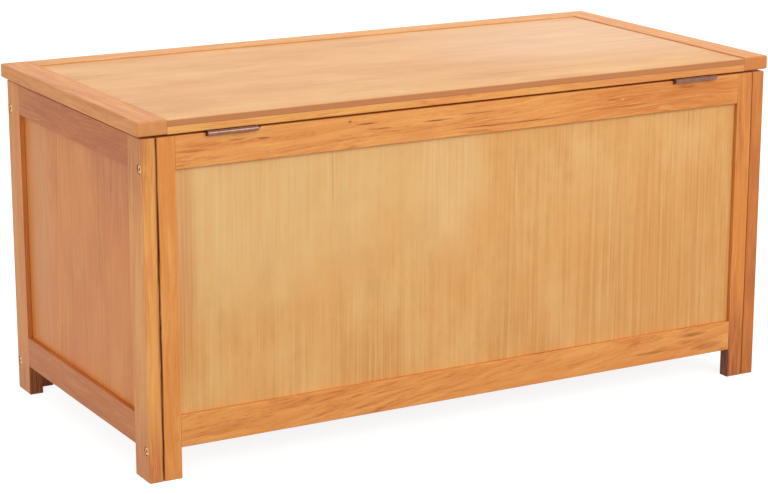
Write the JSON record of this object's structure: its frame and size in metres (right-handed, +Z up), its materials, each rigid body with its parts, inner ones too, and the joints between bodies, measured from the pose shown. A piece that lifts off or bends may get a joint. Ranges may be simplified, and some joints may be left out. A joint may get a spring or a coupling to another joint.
{
  "type": "storage box",
  "caption": "Oak storage box on short legs: frame-and-panel sides bolted together at the corners, a let-in floor and a flat framed lid that swings up on butt hinges at the rear.",
  "frame": {"origin": "on the floor, under the middle of the whole box with its lid overhang and hinge barrels", "axes": "+Z up, +X along the length, -Y the front where the lid opens, +Y the rear with the hinges"},
  "size_m": [1.05, 0.5174, 0.508],
  "materials": {
    "oak_frame": "solid oak, honey stain under satin lacquer",
    "oak_panel": "oak veneered panel, upright grain, satin lacquer",
    "oak_top": "oak veneered top panel, grain along the lid, satin lacquer",
    "plywood_floor": "plain plywood, matt",
    "bronze_hinge": "bronzed brass, lightly polished",
    "brass_fixing": "brass-coloured plating"
  },
  "bodies": {
    "box": {"bolt_left_front_lower": "brass_fixing", "bolt_left_front_upper": "brass_fixing", "bolt_left_rear_lower": "brass_fixing", "bolt_left_rear_upper": "brass_fixing", "bolt_right_front_lower": "brass_fixing", "bolt_right_front_upper": "brass_fixing", "bolt_right_rear_lower": "brass_fixing", "bolt_right_rear_upper": "brass_fixing", "floor_panel": "plywood_floor", "front_bottom_rail": "oak_frame", "front_left_stile": "oak_frame", "front_panel": "oak_panel", "front_right_stile": "oak_frame", "front_top_rail": "oak_frame", "hinge_left_fixed_leaf": "bronze_hinge", "hinge_left_fixed_screw_1": "bronze_hinge", "hinge_left_fixed_screw_2": "bronze_hinge", "hinge_left_fixed_screw_3": "bronze_hinge", "hinge_left_pin": "bronze_hinge", "hinge_right_fixed_leaf": "bronze_hinge", "hinge_right_fixed_screw_1": "bronze_hinge", "hinge_right_fixed_screw_2": "bronze_hinge", "hinge_right_fixed_screw_3": "bronze_hinge", "hinge_right_pin": "bronze_hinge", "insert_left_front_lower": "brass_fixing", "insert_left_front_upper": "brass_fixing", "insert_left_rear_lower": "brass_fixing", "insert_left_rear_upper": "brass_fixing", "insert_right_front_lower": "brass_fixing", "insert_right_front_upper": "brass_fixing", "insert_right_rear_lower": "brass_fixing", "insert_right_rear_upper": "brass_fixing", "rear_bottom_rail": "oak_frame", "rear_left_stile": "oak_frame", "rear_panel": "oak_panel", "rear_right_stile": "oak_frame", "rear_top_rail": "oak_frame", "side_left_bottom_rail": "oak_frame", "side_left_front_stile": "oak_frame", "side_left_panel": "oak_panel", "side_left_rear_stile": "oak_frame", "side_left_top_rail": "oak_frame", "side_right_bottom_rail": "oak_frame", "side_right_front_stile": "oak_frame", "side_right_panel": "oak_panel", "side_right_rear_stile": "oak_frame", "side_right_top_rail": "oak_frame"},
    "lid": {"hinge_left_lid_leaf": "bronze_hinge", "hinge_left_lid_screw_1": "bronze_hinge", "hinge_left_lid_screw_2": "bronze_hinge", "hinge_left_lid_screw_3": "bronze_hinge", "hinge_right_lid_leaf": "bronze_hinge", "hinge_right_lid_screw_1": "bronze_hinge", "hinge_right_lid_screw_2": "bronze_hinge", "hinge_right_lid_screw_3": "bronze_hinge", "lid_front_rail": "oak_frame", "lid_hinge_rail": "oak_frame", "lid_left_board": "oak_frame", "lid_panel": "oak_top", "lid_right_board": "oak_frame"}
  },
  "joints": [
    {"name": "lid_hinge", "type": "hinge", "parent": "box", "child": "lid", "pos_m": [0, 0.25525, 0.4835], "axis": [-1, 0, 0], "range_deg": [0, 195]}
  ]
}
